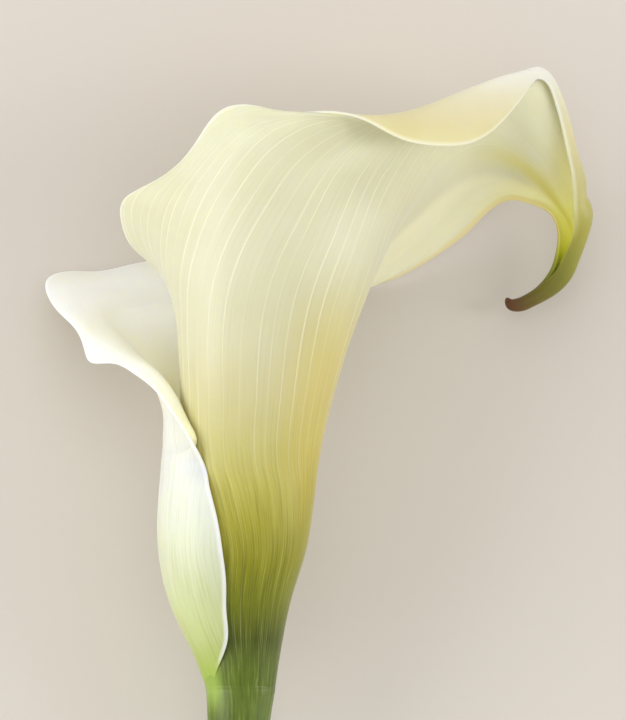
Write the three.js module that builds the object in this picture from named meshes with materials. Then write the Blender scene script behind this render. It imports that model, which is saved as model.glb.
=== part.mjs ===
// A cut calla lily flower, lying on its side: one white bract (the spathe) rolled into a funnel,
// the finger of tiny florets inside it (the spadix), and the green stem that carries both.
// Millimetres, +Z up, the table at Z = 0 and the origin on the table under the middle of the flower.
import * as THREE from 'three';

// ---------------------------------------------------------------- driving dimensions
const stemDiameter = 13;
const stemLength = 118; // from the cut end to the foot of the bract
const stemFlareLength = 22; // over which it widens to the bract's foot
const stemSides = 28;
const stemRows = 14;
const stemBow = 2.2; // how far the stem's middle bends off a straight line
const cutBevel = 0.8; // on the edge of the cut end

const sheetThickness = 1.0; // the bract's flesh
const tailThickness = 1.5; // and of the rolled-up thread at its tip
const tipThickness = 1.1; // where the thread ends
const layerStep = 1.5; // how far the inner wrap tucks in under the outer wrap,
const tuckFrom = 30; // between these two angles round the tube
const tuckTo = 85;
const seatGap = 0.3; // clearance between neighbouring pieces

const footHeight = 2.5; // where the bract leaves the stem, on the flower's own Y axis
const neckTop = 9.5; // the stem's top, inside the bract
const neckRadius = 5.1;

const spadixTop = 80;
const spadixRadius = 4.1; // at its foot
const spadixTaper = 0.26; // the share of that radius lost by the top
const spadixLean = 5; // how far the top leans with the tube
const floretColumns = 20;
const floretRows = 48;
const floretRelief = 0.45; // how far a male floret stands out
const femaleRelief = 0.6; // and a female one
const femaleShare = 0.24; // the lower part of the spadix, which carries the female florets
const bareFoot = 0.03; // the share of it below the first florets
const domeStart = 0.93; // where its rounded top begins
const topFlat = 0.3; // the share of its width that is left at the very top

const tubeRows = 12; // rows of faces along the closed tube
const flareRows = 42; // along the open part
const tailRows = 16; // and along the tail
const flareStart = 0.32; // shares of the bract's run where the open part begins,
const tailStart = 0.88; // where the tail begins
const tailEnd = 0.98; // and where it starts to round off

const restPitch = 10.1; // degrees, how the flower is tipped to lie on the table
const restRoll = -8.42;

// The flower is described in its own frame first: X to the right, Y along the stem towards the
// mouth, Z up and away from the table. The closed tube is a stack of rings, each given by its
// height, its left and right edge, and the angles at which the outer and inner margin end.
// Angles run from +X towards +Z, and the midrib lies at midribAngle.
const midribAngle = -25;
const tubeRings = [
  { y: footHeight, left: -7.8, right: 8.1, outerMargin: 150, innerMargin: 172 },
  { y: 7.5, left: -9.5, right: 8.8, outerMargin: 122, innerMargin: 178 },
  { y: 14, left: -12.5, right: 9.9, outerMargin: 99, innerMargin: 184 },
  { y: 20.5, left: -15.5, right: 11.1, outerMargin: 95, innerMargin: 188 },
  { y: 27, left: -17.6, right: 12.9, outerMargin: 94, innerMargin: 192 },
  { y: 34, left: -18.8, right: 15.1, outerMargin: 98, innerMargin: 194 },
  { y: 43, left: -19, right: 16.7, outerMargin: 105, innerMargin: 196 },
  { y: 50, left: -18.5, right: 17.6, outerMargin: 113, innerMargin: 197 },
  { y: 56, left: -18, right: 18.4, outerMargin: 118, innerMargin: 198 },
];

// Above the tube each vein runs free to the tail. across is -1 at the margin of the outer wrap,
// 0 at the midrib and 1 at the margin of the inner wrap.
const outerMarginVein = [
  [-10.6, 58.8, 15.8], [-13, 62.6, 15.2], [-16.3, 67.4, 13.4], [-19.6, 71.6, 10.6],
  [-24, 75, 7.6], [-29.3, 77.6, 4.6], [-34, 77.7, 1], [-35.6, 80.4, -3.6], [-37.4, 84.6, -9.5],
  [-41.2, 88.6, -17], [-44.4, 93, -25], [-44.4, 97, -31], [-40.4, 98.5, -34.6],
  [-33, 98.6, -37.6], [-24.5, 100.4, -40], [-13, 101.5, -42.5], [2, 99.5, -44.5],
  [16, 96.6, -46], [29.5, 95.6, -47], [39.1, 98.9, -48], [46, 103.1, -48.4],
  [52.4, 107.8, -48.2], [57.4, 112.8, -47.8], [62.7, 115.6, -47], [67.6, 114.6, -45],
];
const outerCrestVein = [
  [-10.2, 59.6, 14.7], [-11.9, 63.8, 13.5], [-14.1, 68.4, 11.4], [-17.4, 73.4, 8.2],
  [-22, 77.4, 5], [-28, 80, 1.8], [-32.8, 82, -3.2], [-36, 86, -10.5], [-39.2, 90.4, -19.5],
  [-39.2, 94.6, -27.5], [-31.5, 96.6, -33.6], [-15, 98.8, -39], [0, 97, -41.6],
  [15, 94.8, -43.6], [28.8, 95.2, -45.2], [38.8, 99.8, -46.4], [47.2, 105.6, -47],
  [55.8, 113.4, -46.8], [62.6, 116.7, -46.3], [67.6, 115.2, -45],
];
const outerWallVein = [
  [-14.6, 60.2, 9.9], [-15.2, 64, 9], [-16.8, 68.2, 6.8], [-19, 73, 3.8], [-21.8, 77.2, 0.6],
  [-25.8, 80.9, -2.4], [-29.4, 83.4, -6.3], [-31.9, 85.7, -11], [-33, 88.3, -16.7],
  [-32.6, 90.7, -22.1], [-30.4, 93, -27.1], [-26, 94.2, -31], [-17, 95.5, -34.8],
  [-8, 95.5, -37.2], [1.1, 94.2, -39.2], [10.5, 93.2, -41], [20, 93.4, -42.5],
  [29.2, 95.5, -43.9], [37.7, 100, -45], [45.3, 105.6, -45.8], [52.3, 111.8, -46.1],
  [60.5, 117, -45.9], [67.7, 115.5, -45.1],
];
const outerSideVein = [
  [-16.9, 65, 0], [-18.4, 72.6, -3.2], [-23.2, 79.6, -8], [-28, 84.8, -14.4],
  [-29.2, 88.8, -22], [-23.4, 91.6, -28.8], [-12, 93, -33.8], [1, 92.4, -37.2],
  [15, 92.2, -40.2], [27.4, 95, -42.6], [38, 101.6, -44.4], [46.8, 108.4, -45.2],
  [54.8, 115, -45.4], [62.4, 117.8, -45.4], [67.7, 115.8, -45.1],
];
const outerLeftVein = [
  [-13, 66, -13], [-13.8, 74.4, -16.4], [-15.2, 81.6, -20.8], [-14, 87, -26], [-8, 89.6, -30.6],
  [1, 90, -34], [11.6, 90.8, -37], [23, 94.6, -39.6], [34, 101.6, -41.6], [43.6, 109.2, -43],
  [52.6, 116.4, -44], [61.4, 119.4, -44.4], [67.8, 116.4, -45.2],
];
const outerBackVein = [
  [0.6, 67, -18.8], [4, 77, -22.2], [10.4, 86.4, -26.8], [19, 94, -30.8], [28.6, 101, -33.2],
  [38, 108.6, -35.6], [47, 116, -38], [55.2, 121, -40.2], [62.8, 121.2, -42.2],
  [68.6, 117.4, -44.8],
];
const midribVein = [
  [18.9, 69, -8.6], [22.6, 82.6, -11.6], [28.2, 96, -16.8], [36.6, 109.6, -22.4],
  [46, 121, -27.8], [54.8, 126.6, -33.6], [62.8, 125, -38.4], [69.4, 120, -42.4],
];
const innerNearRibVein = [
  [16.4, 69, 12], [19.4, 82, 13.4], [24.6, 95.4, 12], [31.8, 109, 5], [39, 120.2, -6.2],
  [46.6, 128.6, -17.8], [54.8, 132.6, -26.8], [63, 131.8, -33.6], [69.8, 125.4, -39],
  [74.6, 119.4, -43.6],
];
const innerFaceVein = [
  [-4.8, 69, 18], [-5.2, 82, 20], [-3.4, 96, 22.2], [2.6, 109, 22.4], [12, 119.4, 20.2],
  [22.4, 126.6, 14.6], [32.4, 131.2, 5], [42.4, 134, -6.6], [52, 136.8, -17.8],
  [60.6, 137.6, -27], [67.6, 133.2, -34], [72.6, 126.4, -39.4], [76.6, 120, -43.2],
];
const innerSideVein = [
  [-12.9, 69, 8.4], [-13.4, 80, 8.6], [-14.4, 91, 8.4], [-16.2, 101.6, 9], [-13.2, 111.6, 13.6],
  [-6.2, 121, 17.8], [3, 128.4, 21], [13, 132, 22], [22.4, 133.2, 19.6], [31.4, 133.6, 13.6],
  [40.4, 134.8, 5], [49, 137, -5.4], [58.2, 140.2, -17.8], [65.6, 141, -28],
  [70.4, 137.6, -33.6], [73.8, 131.6, -37.4], [76.6, 125.6, -40.6], [79.2, 119.4, -42],
];
const innerCrestVein = [
  [-13.2, 69, 2], [-13.2, 80, 0], [-14.6, 91, -3], [-18.8, 99.8, -3], [-21.8, 107.6, 1],
  [-20, 114.2, 7], [-14, 119.6, 11.4], [-7.4, 126.6, 15.6], [-0.6, 132.6, 18.6], [8, 133.6, 21],
  [18.4, 134.2, 21.8], [28.6, 133.7, 18.4], [37.6, 134.7, 11.8], [47, 137.8, 0.6],
  [57.4, 141.8, -13.8], [62.2, 143.4, -21.4], [66.4, 144.7, -27.2], [69.6, 145.3, -30.8],
  [71.9, 143.6, -33], [74, 139.6, -35], [75.6, 135.4, -36.6], [77, 130, -38], [78.4, 124.6, -38.8],
  [79.8, 119.2, -39],
];
const innerMarginVein = [
  [-12.4, 69, -5], [-12.6, 80, -8.6], [-15, 91.6, -13], [-19.4, 99.4, -15], [-24.4, 104, -12],
  [-27, 109.4, -7], [-27, 114.4, -2], [-23.6, 117.2, 3], [-17.8, 120.2, 7.2],
  [-12.6, 124.6, 11], [-8.2, 130.8, 14.6], [-4, 135.4, 16.8], [1.8, 136.6, 18.6],
  [8.8, 135, 20.4], [18, 135, 22], [27.6, 133.6, 21.8], [36, 129.4, 18.6], [45, 127.6, 10.8],
  [52.4, 128.1, 0.6], [58.8, 131.8, -10], [63.4, 136.8, -18], [66.8, 141.2, -24],
  [69.2, 143.3, -28], [71.2, 142.2, -30.6], [72.7, 138.9, -32.6], [74.4, 133, -34.8],
  [75.9, 126.4, -36.4], [77.2, 119.6, -37.2],
];
const veins = [
  { across: -1, points: outerMarginVein },
  { across: -0.9, points: outerCrestVein },
  { across: -0.82, points: outerWallVein },
  { across: -0.72, points: outerSideVein },
  { across: -0.55, points: outerLeftVein },
  { across: -0.3, points: outerBackVein },
  { across: 0, points: midribVein },
  { across: 0.28, points: innerNearRibVein },
  { across: 0.55, points: innerFaceVein },
  { across: 0.78, points: innerSideVein },
  { across: 0.9, points: innerCrestVein },
  { across: 1, points: innerMarginVein },
];

// The tail is a gutter, open away from the table, that closes to a plump thread: its right margin
// rolls over towards the left one. Each section is a part circle about a point of the tail's own
// run, with the angles at which the midrib and the rolled margin lie. Angles run from the side
// that faces the table towards the outside of the tail's bend.
const leftMarginAngle = -90;
const tailSections = [
  { centre: [76.3, 113.4, -42], radius: 4.8, midrib: -25, rolledMargin: 165 },
  { centre: [77.15, 107.2, -43.2], radius: 3.2, midrib: 0, rolledMargin: 174 },
  { centre: [75.9, 102.1, -44], radius: 2.4, midrib: 10, rolledMargin: 191 },
  { centre: [74.6, 98.6, -44.5], radius: 2.1, midrib: 10, rolledMargin: 200 },
  { centre: [72.6, 95.9, -44.9], radius: 1.7, midrib: 10, rolledMargin: 217 },
  { centre: [70, 93.7, -45.2], radius: 1.2, midrib: 10, rolledMargin: 240 },
  { centre: [67.1, 92, -45.4], radius: 0.95, midrib: 10, rolledMargin: 252 },
  { centre: [64.5, 91, -45.4], radius: 0.9, midrib: 10, rolledMargin: 255 },
  { centre: [62.5, 91.3, -45.3], radius: 0.9, midrib: 10, rolledMargin: 255 },
  { centre: [61.7, 92.6, -45.2], radius: 0.7, midrib: 10, rolledMargin: 255 },
];

// ---------------------------------------------------------------- shared curves
function smooth(from, to, value) {
  const share = THREE.MathUtils.clamp((value - from) / (to - from), 0, 1);
  return share * share * (3 - 2 * share);
}

function distance(from, to) {
  return Math.hypot(to[0] - from[0], to[1] - from[1], to[2] - from[2]);
}

// A smooth curve through points, bending evenly from one to the next. It returns a function that
// reads the curve at a knot value.
function smoothCurve(knots, points) {
  const last = points.length - 1;
  const bends = points.map(() => [0, 0, 0]);
  const pivots = points.map(() => 0);
  for (let i = 1; i < last; i += 1) {
    const before = knots[i] - knots[i - 1];
    const after = knots[i + 1] - knots[i];
    const pivot = 2 * (before + after) - before * pivots[i - 1];
    pivots[i] = after / pivot;
    for (let axis = 0; axis < 3; axis += 1) {
      const slopeAfter = (points[i + 1][axis] - points[i][axis]) / after;
      const slopeBefore = (points[i][axis] - points[i - 1][axis]) / before;
      bends[i][axis] = (6 * (slopeAfter - slopeBefore) - before * bends[i - 1][axis]) / pivot;
    }
  }
  for (let i = last - 1; i > 0; i -= 1) {
    for (let axis = 0; axis < 3; axis += 1) {
      bends[i][axis] -= pivots[i] * bends[i + 1][axis];
    }
  }
  return (knot) => {
    let i = 0;
    while (i < last - 1 && knot > knots[i + 1]) {
      i += 1;
    }
    const span = knots[i + 1] - knots[i];
    const toEnd = knots[i + 1] - knot;
    const fromStart = knot - knots[i];
    return [0, 1, 2].map((axis) => {
      const bend = (bends[i][axis] * toEnd ** 3 + bends[i + 1][axis] * fromStart ** 3) / (6 * span);
      const start = (points[i][axis] / span - (bends[i][axis] * span) / 6) * toEnd;
      const end = (points[i + 1][axis] / span - (bends[i + 1][axis] * span) / 6) * fromStart;
      return bend + start + end;
    });
  };
}

// ---------------------------------------------------------------- the bract (spathe)
// A point of the closed tube's middle surface. The inner wrap tucks in under the outer one.
function ringPoint(ring, across) {
  const centre = (ring.left + ring.right) / 2;
  const radius = (ring.right - ring.left - sheetThickness) / 2;
  const outerEnd = ring.outerMargin - 360;
  const reach = across < 0 ? midribAngle - outerEnd : ring.innerMargin - midribAngle;
  const angle = midribAngle + across * reach;
  const tuck = across > 0 ? layerStep * smooth(tuckFrom, tuckTo, angle) : 0;
  const turn = THREE.MathUtils.degToRad(angle);
  return [
    centre + (radius - tuck) * Math.cos(turn),
    ring.y,
    (radius - tuck) * Math.sin(turn),
  ];
}

// A point of a tail section. Sideways is square to the tail's run and points out of its bend.
function tailPoint(i, across) {
  const { centre, radius, midrib, rolledMargin } = tailSections[i];
  const before = tailSections[Math.max(i - 1, 0)].centre;
  const after = tailSections[Math.min(i + 1, tailSections.length - 1)].centre;
  const run = Math.hypot(after[0] - before[0], after[1] - before[1]);
  const sideways = [-(after[1] - before[1]) / run, (after[0] - before[0]) / run];
  const reach = across < 0 ? midrib - leftMarginAngle : rolledMargin - midrib;
  const turn = THREE.MathUtils.degToRad(midrib + across * reach);
  return [
    centre[0] + radius * Math.sin(turn) * sideways[0],
    centre[1] + radius * Math.sin(turn) * sideways[1],
    centre[2] - radius * Math.cos(turn),
  ];
}

// Knots for a stretch of points, shared out between two places by the lengths between them. The
// first of the points is where the stretch begins and has its knot already.
function spreadKnots(points, from, to) {
  const lengths = points.slice(1).map((point, i) => distance(points[i], point));
  const whole = lengths.reduce((sum, length) => sum + length, 0);
  let run = 0;
  return lengths.map((length) => {
    run += length;
    return from + ((to - from) * run) / whole;
  });
}

// One vein from the foot to the tip: through the tube's rings, its own points and the tail.
function veinCurve({ across, points }) {
  const tube = tubeRings.map((ring) => ringPoint(ring, across));
  const tail = tailSections.map((_, i) => tailPoint(i, across));
  const tubeHeights = tubeRings.map((ring) => [0, ring.y, 0]);
  const tailCentres = tailSections.map((section) => section.centre);
  const knots = [
    0,
    ...spreadKnots(tubeHeights, 0, flareStart),
    ...spreadKnots([tube.at(-1), ...points, tail[0]], flareStart, tailStart),
    ...spreadKnots(tailCentres, tailStart, 1),
  ];
  return smoothCurve(knots, [...tube, ...points, ...tail]);
}

const veinCurves = veins.map(veinCurve);
const midribIndex = veins.findIndex((vein) => vein.across === 0);

// The curve across the bract at one share of its length. It bends evenly through the veins, and
// each half is read by its own share of the way from the midrib to the margin.
function crossCurve(along) {
  const points = veinCurves.map((curve) => curve(along));
  const knots = [0];
  points.slice(1).forEach((point, i) => knots.push(knots[i] + distance(points[i], point)));
  const curve = smoothCurve(knots, points);
  const midrib = knots[midribIndex];
  const whole = knots.at(-1);
  return (across) => curve(midrib + across * (across < 0 ? midrib : whole - midrib));
}

// Where the rows of faces fall along the bract.
function rowPlaces() {
  const stretch = (from, to, rows) =>
    Array.from({ length: rows }, (_, i) => from + ((to - from) * i) / rows);
  return [
    ...stretch(0, flareStart, tubeRows),
    ...stretch(flareStart, tailStart, flareRows),
    ...stretch(tailStart, 1, tailRows),
    1,
  ];
}

// And its columns, closer at the two margins, where the bract curls.
const columnPlaces = [
  -1, -0.96, -0.91, -0.86, -0.8, -0.73, -0.66, -0.59, -0.52, -0.45, -0.38, -0.31, -0.24, -0.17,
  -0.1, -0.04, 0.02, 0.09, 0.16, 0.23, 0.3, 0.37, 0.44, 0.51, 0.58, 0.65, 0.71, 0.77, 0.82, 0.87,
  0.91, 0.95, 1,
];

function sheetNormal(along, across) {
  const step = 0.002;
  const a0 = Math.max(along - step, 0);
  const a1 = Math.min(along + step, 1);
  const c0 = Math.max(across - step, -1);
  const c1 = Math.min(across + step, 1);
  const lengthwise = new THREE.Vector3(...crossCurve(a1)(across));
  lengthwise.sub(new THREE.Vector3(...crossCurve(a0)(across)));
  const here = crossCurve(along);
  const sideways = new THREE.Vector3(...here(c1)).sub(new THREE.Vector3(...here(c0)));
  return sideways.cross(lengthwise).normalize();
}

function spatheGeometry() {
  const rows = rowPlaces();
  const columns = columnPlaces;
  const positions = [];
  for (const side of [1, -1]) {
    for (const along of rows) {
      const middle = crossCurve(along);
      const plump = (tailThickness - sheetThickness) * smooth(tailStart, tailEnd, along);
      const rounding = (tailThickness - tipThickness) * smooth(tailEnd, 1, along);
      const thickness = sheetThickness + plump - rounding;
      for (const across of columns) {
        const normal = sheetNormal(along, across);
        const [x, y, z] = middle(across);
        const lift = (side * thickness) / 2;
        positions.push(x + normal.x * lift, y + normal.y * lift, z + normal.z * lift);
      }
    }
  }
  const width = columns.length;
  const sheet = rows.length * width;
  const index = [];
  const quad = (a, b, c, d) => index.push(a, b, c, a, c, d);
  for (let row = 0; row < rows.length - 1; row += 1) {
    for (let column = 0; column < width - 1; column += 1) {
      const at = row * width + column;
      quad(at, at + 1, at + width + 1, at + width);
      const under = at + sheet;
      index.push(under, under + width + 1, under + 1, under, under + width, under + width + 1);
    }
  }
  for (let row = 0; row < rows.length - 1; row += 1) {
    const left = row * width;
    const right = left + width - 1;
    quad(left, left + width, left + width + sheet, left + sheet);
    quad(right + width, right, right + sheet, right + width + sheet);
  }
  for (let column = 0; column < width - 1; column += 1) {
    const foot = column;
    const tip = (rows.length - 1) * width + column;
    quad(foot + 1, foot, foot + sheet, foot + 1 + sheet);
    quad(tip, tip + 1, tip + 1 + sheet, tip + sheet);
  }
  const geometry = new THREE.BufferGeometry();
  geometry.setAttribute('position', new THREE.Float32BufferAttribute(positions, 3));
  geometry.setIndex(index);
  return geometry;
}

// ---------------------------------------------------------------- round pieces about a bent axis
// Rings of points about an axis that runs along Y, closed at both ends by a fan.
function ringStack(rings, sides) {
  const positions = [];
  for (const { centre, radiusAt } of rings) {
    for (let i = 0; i < sides; i += 1) {
      const turn = (2 * Math.PI * i) / sides;
      const radius = radiusAt(turn);
      positions.push(
        centre[0] + radius * Math.cos(turn),
        centre[1],
        centre[2] + radius * Math.sin(turn),
      );
    }
  }
  const index = [];
  for (let ring = 0; ring < rings.length - 1; ring += 1) {
    for (let i = 0; i < sides; i += 1) {
      const next = (i + 1) % sides;
      const low = ring * sides;
      const high = low + sides;
      index.push(low + i, high + i, high + next, low + i, high + next, low + next);
    }
  }
  const foot = positions.length / 3;
  positions.push(...rings[0].centre);
  const top = foot + 1;
  positions.push(...rings.at(-1).centre);
  const lastRing = (rings.length - 1) * sides;
  for (let i = 0; i < sides; i += 1) {
    const next = (i + 1) % sides;
    index.push(foot, i, next);
    index.push(top, lastRing + next, lastRing + i);
  }
  const geometry = new THREE.BufferGeometry();
  geometry.setAttribute('position', new THREE.Float32BufferAttribute(positions, 3));
  geometry.setIndex(index);
  return geometry;
}

// ---------------------------------------------------------------- the spadix
// A finger that leans with the tube. Each floret is one raised point between four low ones.
function spadixGeometry() {
  const foot = neckTop + seatGap;
  const rings = [];
  for (let row = 0; row <= floretRows; row += 1) {
    const share = row / floretRows;
    const lean = spadixLean * share * share;
    const radius = spadixRadius * (1 - spadixTaper * share);
    const dome = Math.max(Math.sqrt(1 - smooth(domeStart, 1, share) ** 2), topFlat);
    const relief = (share < femaleShare ? femaleRelief : floretRelief) * smooth(0, bareFoot, share);
    rings.push({
      centre: [lean, foot + (spadixTop - foot) * share, -lean / 2],
      radiusAt: (turn) => {
        const column = Math.round((turn / (2 * Math.PI)) * floretColumns);
        const raised = (column + row) % 2 === 0 ? relief : 0;
        return (radius + raised) * dome;
      },
    });
  }
  return ringStack(rings, floretColumns);
}

// ---------------------------------------------------------------- the stem
function stemGeometry() {
  const radius = stemDiameter / 2;
  const first = tubeRings[0];
  const footRadius = (first.right - first.left) / 2;
  const footCentre = (first.right + first.left) / 2;
  const cut = footHeight - stemLength;
  const shoulder = footHeight - seatGap;
  const bowAt = (y) => stemBow * Math.sin((Math.PI * (shoulder - y)) / (shoulder - cut));
  const ring = (y, ringRadius) => ({
    centre: [footCentre - bowAt(y), y, 0],
    radiusAt: () => ringRadius,
  });
  const shaft = Array.from({ length: stemRows + 1 }, (_, i) => {
    const y = cut + cutBevel + ((shoulder - cut - cutBevel) * i) / stemRows;
    const flare = Math.max((y + stemFlareLength - shoulder) / stemFlareLength, 0) ** 2;
    return ring(y, radius + (footRadius - radius) * flare);
  });
  return ringStack(
    [ring(cut, radius - cutBevel), ...shaft, ring(shoulder, neckRadius), ring(neckTop, neckRadius)],
    stemSides,
  );
}

// ---------------------------------------------------------------- pieces
function piece(name, geometry, color, roughness) {
  const material = new THREE.MeshStandardMaterial({ color, roughness, metalness: 0 });
  const mesh = new THREE.Mesh(geometry, material);
  mesh.name = name;
  return mesh;
}

const spathe = piece('spathe', spatheGeometry(), 0xe8e6cc, 0.5);
const spadix = piece('spadix', spadixGeometry(), 0xe3b53a, 0.8);
const stem = piece('stem', stemGeometry(), 0x5f7d3a, 0.45);

// ---------------------------------------------------------------- lying on the table
// Tipped this way the flower rests on three low points: the stem's cut end, and the far rim of
// the bract right and left of the stem.
const flower = new THREE.Group();
flower.add(spathe, spadix, stem);
flower.rotation.order = 'YXZ';
flower.rotation.x = THREE.MathUtils.degToRad(restPitch);
flower.rotation.y = THREE.MathUtils.degToRad(restRoll);

const box = new THREE.Box3().setFromObject(flower, true);
flower.position.set(-(box.min.x + box.max.x) / 2, -(box.min.y + box.max.y) / 2, -box.min.z);

const callaLily = new THREE.Group();
callaLily.add(flower);

export default callaLily;
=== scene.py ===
# A cut calla lily flower lying on a pale table, seen from above: its rolled white bract, the
# finger of florets inside it, and its green stem. Metres, +Z up, as the part's own frame.
import math

import bpy
import numpy as np
from mathutils import Euler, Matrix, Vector


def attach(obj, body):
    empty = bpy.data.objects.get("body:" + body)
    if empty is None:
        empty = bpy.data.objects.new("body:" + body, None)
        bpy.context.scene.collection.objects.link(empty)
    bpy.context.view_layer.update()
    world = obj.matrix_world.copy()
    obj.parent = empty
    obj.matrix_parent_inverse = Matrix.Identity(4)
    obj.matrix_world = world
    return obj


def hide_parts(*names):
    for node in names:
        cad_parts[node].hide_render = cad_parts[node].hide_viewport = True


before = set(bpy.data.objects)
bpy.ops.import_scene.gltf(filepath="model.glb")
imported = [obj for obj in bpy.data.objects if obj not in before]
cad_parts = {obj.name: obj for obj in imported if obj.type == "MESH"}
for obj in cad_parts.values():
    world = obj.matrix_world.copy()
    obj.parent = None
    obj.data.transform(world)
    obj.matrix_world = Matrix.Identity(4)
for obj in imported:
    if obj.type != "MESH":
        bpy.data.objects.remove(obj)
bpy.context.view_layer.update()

# ------------------------------------------------------------------ how the flower lies
# The flower is laid on its side, tipped until its far rim and the stem's cut end carry it. Its
# own axes run right, along the stem to the mouth, and up from the table, in millimetres.
rest_pitch = math.radians(10.1)
rest_roll = math.radians(-8.42)
rest_turn = np.array(Euler((rest_pitch, rest_roll, 0)).to_matrix())
flower_place = np.array([-0.02061, -0.01715, 0.02627])
mm = 0.001


def on_table(points):
    return np.asarray(points, float) @ rest_turn.T * mm + flower_place


# ------------------------------------------------------------------ the bract
# One fleshy leaf, rolled so that its left margin wraps over its right one, flared at the mouth
# and drawn out into a curled tail. It grows straight out of the stem, with no seam.
sheet_thickness = 1.0
edge_thickness = 0.55
edge_width = 7.0
foot_thickness = 0.3
tail_thickness = 1.5
tip_thickness = 1.1
layer_step = 1.5
foot_step = 0.04
tuck_from = 30
tuck_to = 85
midrib_angle = -25
left_margin_angle = -90
flare_start = 0.32
tail_start = 0.88
tail_end = 0.98

# Height, left and right edge, and the angles at which the outer and the inner margin end.
foot_height = 2.5
tube_rings = [
    (foot_height, -7.8, 8.1, 150, 172),
    (7.5, -9.5, 8.8, 122, 178),
    (14, -12.5, 9.9, 99, 184),
    (20.5, -15.5, 11.1, 95, 188),
    (27, -17.6, 12.9, 94, 192),
    (34, -18.8, 15.1, 98, 194),
    (43, -19, 16.7, 105, 196),
    (50, -18.5, 17.6, 113, 197),
    (56, -18, 18.4, 121.7, 198),
]

# The run of each main vein above the tube, from the outer margin over the midrib to the inner.
outer_margin_vein = [
    (-10.6, 58.8, 15.8), (-13, 62.6, 15.2), (-16.3, 67.4, 13.4), (-19.6, 71.6, 10.6),
    (-24, 75, 7.6), (-29.3, 77.6, 4.6), (-34, 77.7, 1), (-35.6, 80.4, -3.6), (-37.4, 84.6, -9.5),
    (-41.2, 88.6, -17), (-44.4, 93, -25), (-44.4, 97, -31), (-40.4, 98.5, -34.6),
    (-33, 98.6, -37.6), (-24.5, 100.4, -40), (-13, 101.5, -42.5), (2, 99.5, -44.5),
    (16, 96.6, -46), (29.5, 95.6, -47), (39.1, 98.9, -48), (46, 103.1, -48.4),
    (52.4, 107.8, -48.2), (57.4, 112.8, -47.8), (62.7, 115.6, -47), (67.6, 114.6, -45),
]
outer_crest_vein = [
    (-10.2, 59.6, 14.7), (-11.9, 63.8, 13.5), (-14.1, 68.4, 11.4), (-17.4, 73.4, 8.2),
    (-22, 77.4, 5), (-28, 80, 1.8), (-32.8, 82, -3.2), (-36, 86, -10.5), (-39.2, 90.4, -19.5),
    (-39.2, 94.6, -27.5), (-31.5, 96.6, -33.6), (-15, 98.8, -39), (0, 97, -41.6),
    (15, 94.8, -43.6), (28.8, 95.2, -45.2), (38.8, 99.8, -46.4), (47.2, 105.6, -47),
    (55.8, 113.4, -46.8), (62.6, 116.7, -46.3), (67.6, 115.2, -45),
]
outer_wall_vein = [
    (-14.6, 60.2, 9.9), (-15.2, 64, 9), (-16.8, 68.2, 6.8), (-19, 73, 3.8), (-21.8, 77.2, 0.6),
    (-25.8, 80.9, -2.4), (-29.4, 83.4, -6.3), (-31.9, 85.7, -11), (-33, 88.3, -16.7),
    (-32.6, 90.7, -22.1), (-30.4, 93, -27.1), (-26, 94.2, -31), (-17, 95.5, -34.8),
    (-8, 95.5, -37.2), (1.1, 94.2, -39.2), (10.5, 93.2, -41), (20, 93.4, -42.5),
    (29.2, 95.5, -43.9), (37.7, 100, -45), (45.3, 105.6, -45.8), (52.3, 111.8, -46.1),
    (60.5, 117, -45.9), (67.7, 115.5, -45.1),
]
outer_side_vein = [
    (-16.9, 65, 0), (-18.4, 72.6, -3.2), (-23.2, 79.6, -8), (-28, 84.8, -14.4),
    (-29.2, 88.8, -22), (-23.4, 91.6, -28.8), (-12, 93, -33.8), (1, 92.4, -37.2),
    (15, 92.2, -40.2), (27.4, 95, -42.6), (38, 101.6, -44.4), (46.8, 108.4, -45.2),
    (54.8, 115, -45.4), (62.4, 117.8, -45.4), (67.7, 115.8, -45.1),
]
outer_left_vein = [
    (-13, 66, -13), (-13.8, 74.4, -16.4), (-15.2, 81.6, -20.8), (-14, 87, -26), (-8, 89.6, -30.6),
    (1, 90, -34), (11.6, 90.8, -37), (23, 94.6, -39.6), (34, 101.6, -41.6), (43.6, 109.2, -43),
    (52.6, 116.4, -44), (61.4, 119.4, -44.4), (67.8, 116.4, -45.2),
]
outer_back_vein = [
    (0.6, 67, -18.8), (4, 77, -22.2), (10.4, 86.4, -26.8), (19, 94, -30.8), (28.6, 101, -33.2),
    (38, 108.6, -35.6), (47, 116, -38), (55.2, 121, -40.2), (62.8, 121.2, -42.2),
    (68.6, 117.4, -44.8),
]
midrib_vein = [
    (18.9, 69, -8.6), (22.6, 82.6, -11.6), (28.2, 96, -16.8), (36.6, 109.6, -22.4),
    (46, 121, -27.8), (54.8, 126.6, -33.6), (62.8, 125, -38.4), (69.4, 120, -42.4),
]
inner_near_rib_vein = [
    (16.4, 69, 12), (19.4, 82, 13.4), (24.6, 95.4, 12), (31.8, 109, 5), (39, 120.2, -6.2),
    (46.6, 128.6, -17.8), (54.8, 132.6, -26.8), (63, 131.8, -33.6), (69.8, 125.4, -39),
    (74.6, 119.4, -43.6),
]
inner_face_vein = [
    (-4.8, 69, 18), (-5.2, 82, 20), (-3.4, 96, 22.2), (2.6, 109, 22.4), (12, 119.4, 20.2),
    (22.4, 126.6, 14.6), (32.4, 131.2, 5), (42.4, 134, -6.6), (52, 136.8, -17.8),
    (60.6, 137.6, -27), (67.6, 133.2, -34), (72.6, 126.4, -39.4), (76.6, 120, -43.2),
]
inner_side_vein = [
    (-12.9, 69, 8.4), (-13.4, 80, 8.6), (-14.4, 91, 8.4), (-16.2, 101.6, 9), (-13.2, 111.6, 13.6),
    (-6.2, 121, 17.8), (3, 128.4, 21), (13, 132, 22), (22.4, 133.2, 19.6), (31.4, 133.6, 13.6),
    (40.4, 134.8, 5), (49, 137, -5.4), (58.2, 140.2, -17.8), (65.6, 141, -28),
    (70.4, 137.6, -33.6), (73.8, 131.6, -37.4), (76.6, 125.6, -40.6), (79.2, 119.4, -42),
]
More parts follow.
